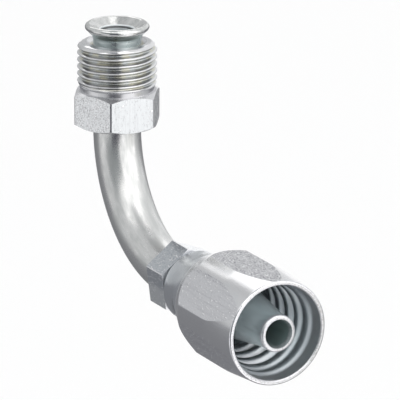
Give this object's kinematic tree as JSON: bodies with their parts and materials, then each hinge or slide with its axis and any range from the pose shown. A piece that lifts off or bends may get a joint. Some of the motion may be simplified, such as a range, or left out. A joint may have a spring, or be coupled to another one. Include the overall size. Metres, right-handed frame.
{
  "type": "hydraulic hose end fitting",
  "caption": "Right-angle hydraulic hose end: a threaded swivel nut on a bent flared tube, joined to a hexagon nipple whose tapered tail sits inside a screw-on hose socket.",
  "frame": {"origin": "on the swivel nut's axis, at the foot of its port thread where the relief groove begins", "axes": "+Z along the nut's axis and out of its threaded end, +X along the hose side and out of the socket's mouth, so the bend lies in the XZ plane"},
  "size_m": [0.0747, 0.022, 0.0554],
  "materials": {
    "nut_steel": "zinc plated over machined steel, semi-bright",
    "tube_steel": "zinc plated over drawn tube, satin",
    "braze": "braze fillet under the plating, satin",
    "nipple_steel": "zinc plated over machined steel, satin",
    "socket_steel": "zinc plated over turned and milled steel, semi-bright"
  },
  "bodies": {
    "nut": {"swivel_nut": "nut_steel"},
    "hose_end": {"elbow_tube": "tube_steel", "braze_ring": "braze", "nipple": "nipple_steel"},
    "hose_socket": {"socket": "socket_steel"}
  },
  "joints": [
    {"name": "nut_swivel", "type": "hinge", "parent": "nut", "child": "hose_end", "pos_m": [0, 0, 0], "axis": [0, 0, 1], "continuous": true},
    {"name": "socket_screw", "type": "hinge", "parent": "hose_end", "child": "hose_socket", "pos_m": [0.033, 0, -0.0329], "axis": [1, 0, 0], "range_deg": [-240, 2520]}
  ]
}
